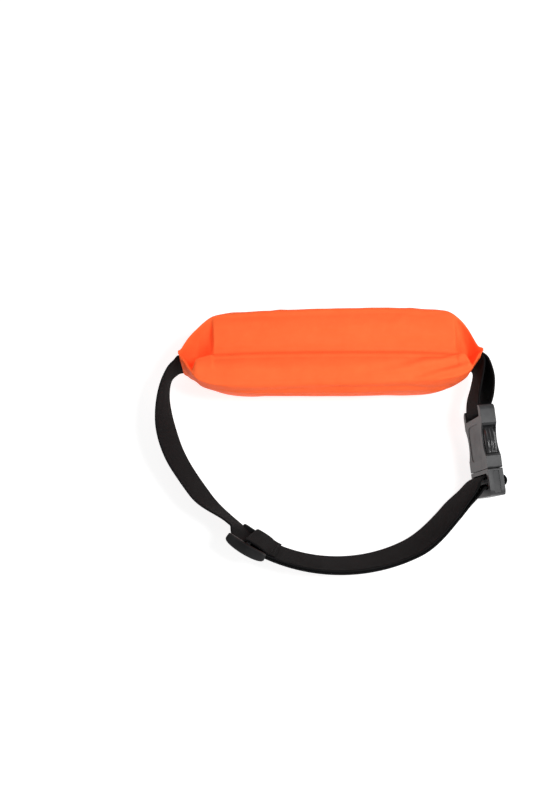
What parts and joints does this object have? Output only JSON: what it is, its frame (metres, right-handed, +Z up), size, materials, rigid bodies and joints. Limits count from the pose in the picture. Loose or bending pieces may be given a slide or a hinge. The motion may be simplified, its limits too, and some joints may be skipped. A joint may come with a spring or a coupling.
{
  "type": "waist pack",
  "caption": "Slim gusseted fabric waist pack with a coated zip on its outer side, on a webbing belt closed by a side-release buckle and set by a slide adjuster.",
  "frame": {"origin": "middle of the pouch's resting face, on the plane of the end seams", "axes": "+X along the pouch towards the buckle end, +Y out through the zip, away from the wearer, +Z up"},
  "size_m": [0.2571, 0.2026, 0.062],
  "materials": {
    "coated_fabric": "soft coated, slightly shiny",
    "zip_tape": "water-resistant film on tape, satin",
    "zip_coil": "nylon coil",
    "slider_metal": "black paint, semi-gloss",
    "pull_rubber": "matte",
    "webbing": "ribbed woven polyester",
    "moulded_plastic": "moulded acetal, satin"
  },
  "bodies": {
    "pack": {"back_panel": "coated_fabric", "top_gusset": "coated_fabric", "bottom_gusset": "coated_fabric", "front_strip_upper": "coated_fabric", "front_strip_lower": "coated_fabric", "zip_end_patch_left": "coated_fabric", "zip_end_patch_right": "coated_fabric", "strap_main": "webbing", "strap_flex": "webbing", "strap_return": "webbing", "strap_right": "webbing", "buckle_female": "moulded_plastic"},
    "zip_lip_upper": {"zip_tape_upper": "zip_tape", "zip_coil_upper": "zip_coil"},
    "zip_lip_lower": {"zip_tape_lower": "zip_tape", "zip_coil_lower": "zip_coil"},
    "zip_slider": {"zip_slider": "slider_metal"},
    "zip_pull": {"zip_pull_frame": "slider_metal", "zip_pull_grip": "pull_rubber", "zip_pull_loop": "pull_rubber"},
    "buckle_male": {"buckle_male": "moulded_plastic", "strap_buckle_loop": "webbing"},
    "prong_upper": {"buckle_prong_upper": "moulded_plastic"},
    "prong_lower": {"buckle_prong_lower": "moulded_plastic"},
    "tri_glide": {"tri_glide": "moulded_plastic", "strap_sewn_end": "webbing"}
  },
  "joints": [
    {"name": "zip_slide", "type": "slide", "parent": "pack", "child": "zip_slider", "axis": [-1, 0, 0], "range_m": [0, 0.14]},
    {"name": "zip_pull_swing", "type": "hinge", "parent": "zip_slider", "child": "zip_pull", "pos_m": [0.07, 0.03815, 0.031], "axis": [0, 0, 1], "range_deg": [0, 165]},
    {"name": "zip_lip_upper", "type": "slide", "parent": "pack", "child": "zip_lip_upper", "axis": [0, 0, 1], "range_m": [0, 0.0085]},
    {"name": "zip_lip_lower", "type": "slide", "parent": "pack", "child": "zip_lip_lower", "axis": [0, 0, -1], "range_m": [0, 0.0085]},
    {"name": "buckle_release", "type": "slide", "parent": "pack", "child": "buckle_male", "axis": [0.0691, -0.9879, -0.1392], "range_m": [0, 0.042], "deforming": ["strap_flex", "buckle_prong_upper", "buckle_prong_lower"]},
    {"name": "prong_upper_press", "type": "hinge", "parent": "buckle_male", "child": "prong_upper", "pos_m": [0.11421, -0.08715, 0.04765], "axis": [-0.9976, -0.0698, 0], "range_deg": [0, 10], "stiffness_Nm_per_rad": 0.6},
    {"name": "prong_lower_press", "type": "hinge", "parent": "buckle_male", "child": "prong_lower", "pos_m": [0.11385, -0.08187, 0.01002], "axis": [0.9976, 0.0698, 0], "range_deg": [0, 10], "stiffness_Nm_per_rad": 0.6},
    {"name": "adjuster_slide", "type": "hinge", "parent": "pack", "child": "tri_glide", "pos_m": [0.0035, -0.028, 0.0222], "axis": [0, 0, 1], "range_deg": [0, 42], "deforming": ["strap_return"]}
  ],
  "couplings": [
    {"joint": "zip_lip_upper", "follows": "zip_slide", "ratio": 0.0607},
    {"joint": "zip_lip_lower", "follows": "zip_slide", "ratio": 0.0607}
  ]
}
